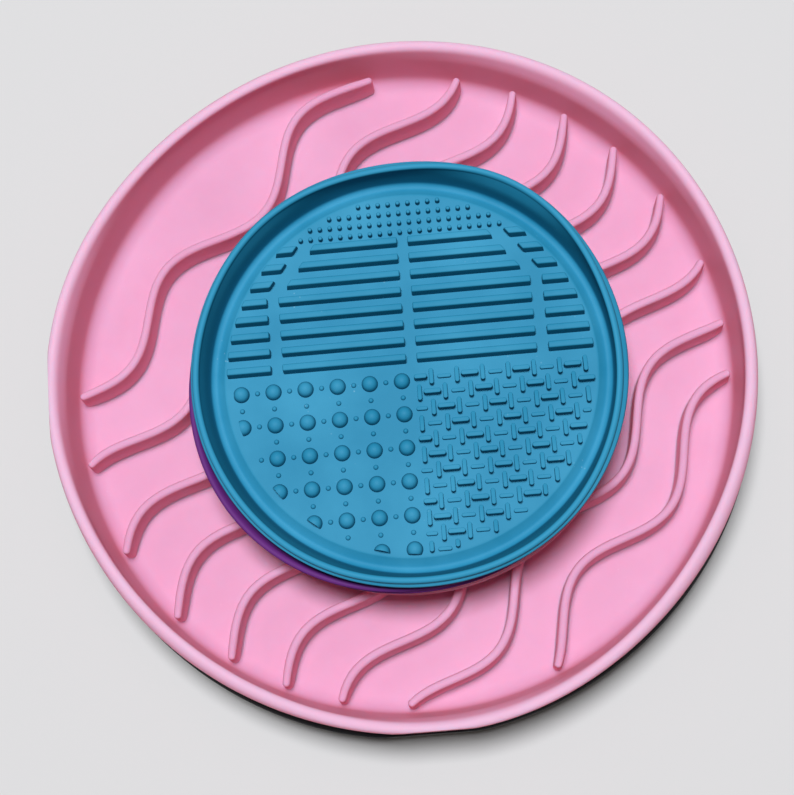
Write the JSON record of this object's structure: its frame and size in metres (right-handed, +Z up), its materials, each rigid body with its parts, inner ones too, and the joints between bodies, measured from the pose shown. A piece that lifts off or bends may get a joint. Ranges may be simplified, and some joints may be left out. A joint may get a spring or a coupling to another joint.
{
  "type": "nested slow feeder bowl set",
  "caption": "Nested silicone slow feeder: wide bowls with wave ridges, and small lick trays with relief fields stacked inside, each lifting off.",
  "frame": {"origin": "middle of the lowest bowl, on the surface that it stands on", "axes": "+Z up, +X along the relief bars of the top tray, +Y towards the pins of the top tray"},
  "size_m": [0.25, 0.25, 0.0545],
  "materials": {
    "black_silicone": "matt moulded silicone",
    "pink_silicone": "matt moulded silicone",
    "purple_silicone": "matt moulded silicone",
    "teal_silicone": "matt moulded silicone"
  },
  "bodies": {
    "base": {"base_bowl": "black_silicone", "base_bowl_ridges": "black_silicone"},
    "bowl": {"wave_bowl": "pink_silicone", "wave_bowl_ridges": "pink_silicone"},
    "lower_tray": {"lower_tray": "pink_silicone", "lower_tray_bars": "pink_silicone", "lower_tray_pins": "pink_silicone", "lower_tray_domes": "pink_silicone", "lower_tray_weave": "pink_silicone"},
    "middle_tray": {"middle_tray": "purple_silicone", "middle_tray_bars": "purple_silicone", "middle_tray_pins": "purple_silicone", "middle_tray_domes": "purple_silicone", "middle_tray_weave": "purple_silicone"},
    "top_tray": {"top_tray": "teal_silicone", "top_tray_bars": "teal_silicone", "top_tray_pins": "teal_silicone", "top_tray_domes": "teal_silicone", "top_tray_weave": "teal_silicone"}
  },
  "joints": [
    {"name": "wave_bowl_lift", "type": "slide", "parent": "base", "child": "bowl", "axis": [0, 0, 1], "range_m": [0, 0.06]},
    {"name": "lower_tray_lift", "type": "slide", "parent": "bowl", "child": "lower_tray", "axis": [0, 0, 1], "range_m": [0, 0.05]},
    {"name": "middle_tray_lift", "type": "slide", "parent": "lower_tray", "child": "middle_tray", "axis": [0, 0, 1], "range_m": [0, 0.05]},
    {"name": "top_tray_lift", "type": "slide", "parent": "middle_tray", "child": "top_tray", "axis": [0, 0, 1], "range_m": [0, 0.05]}
  ]
}
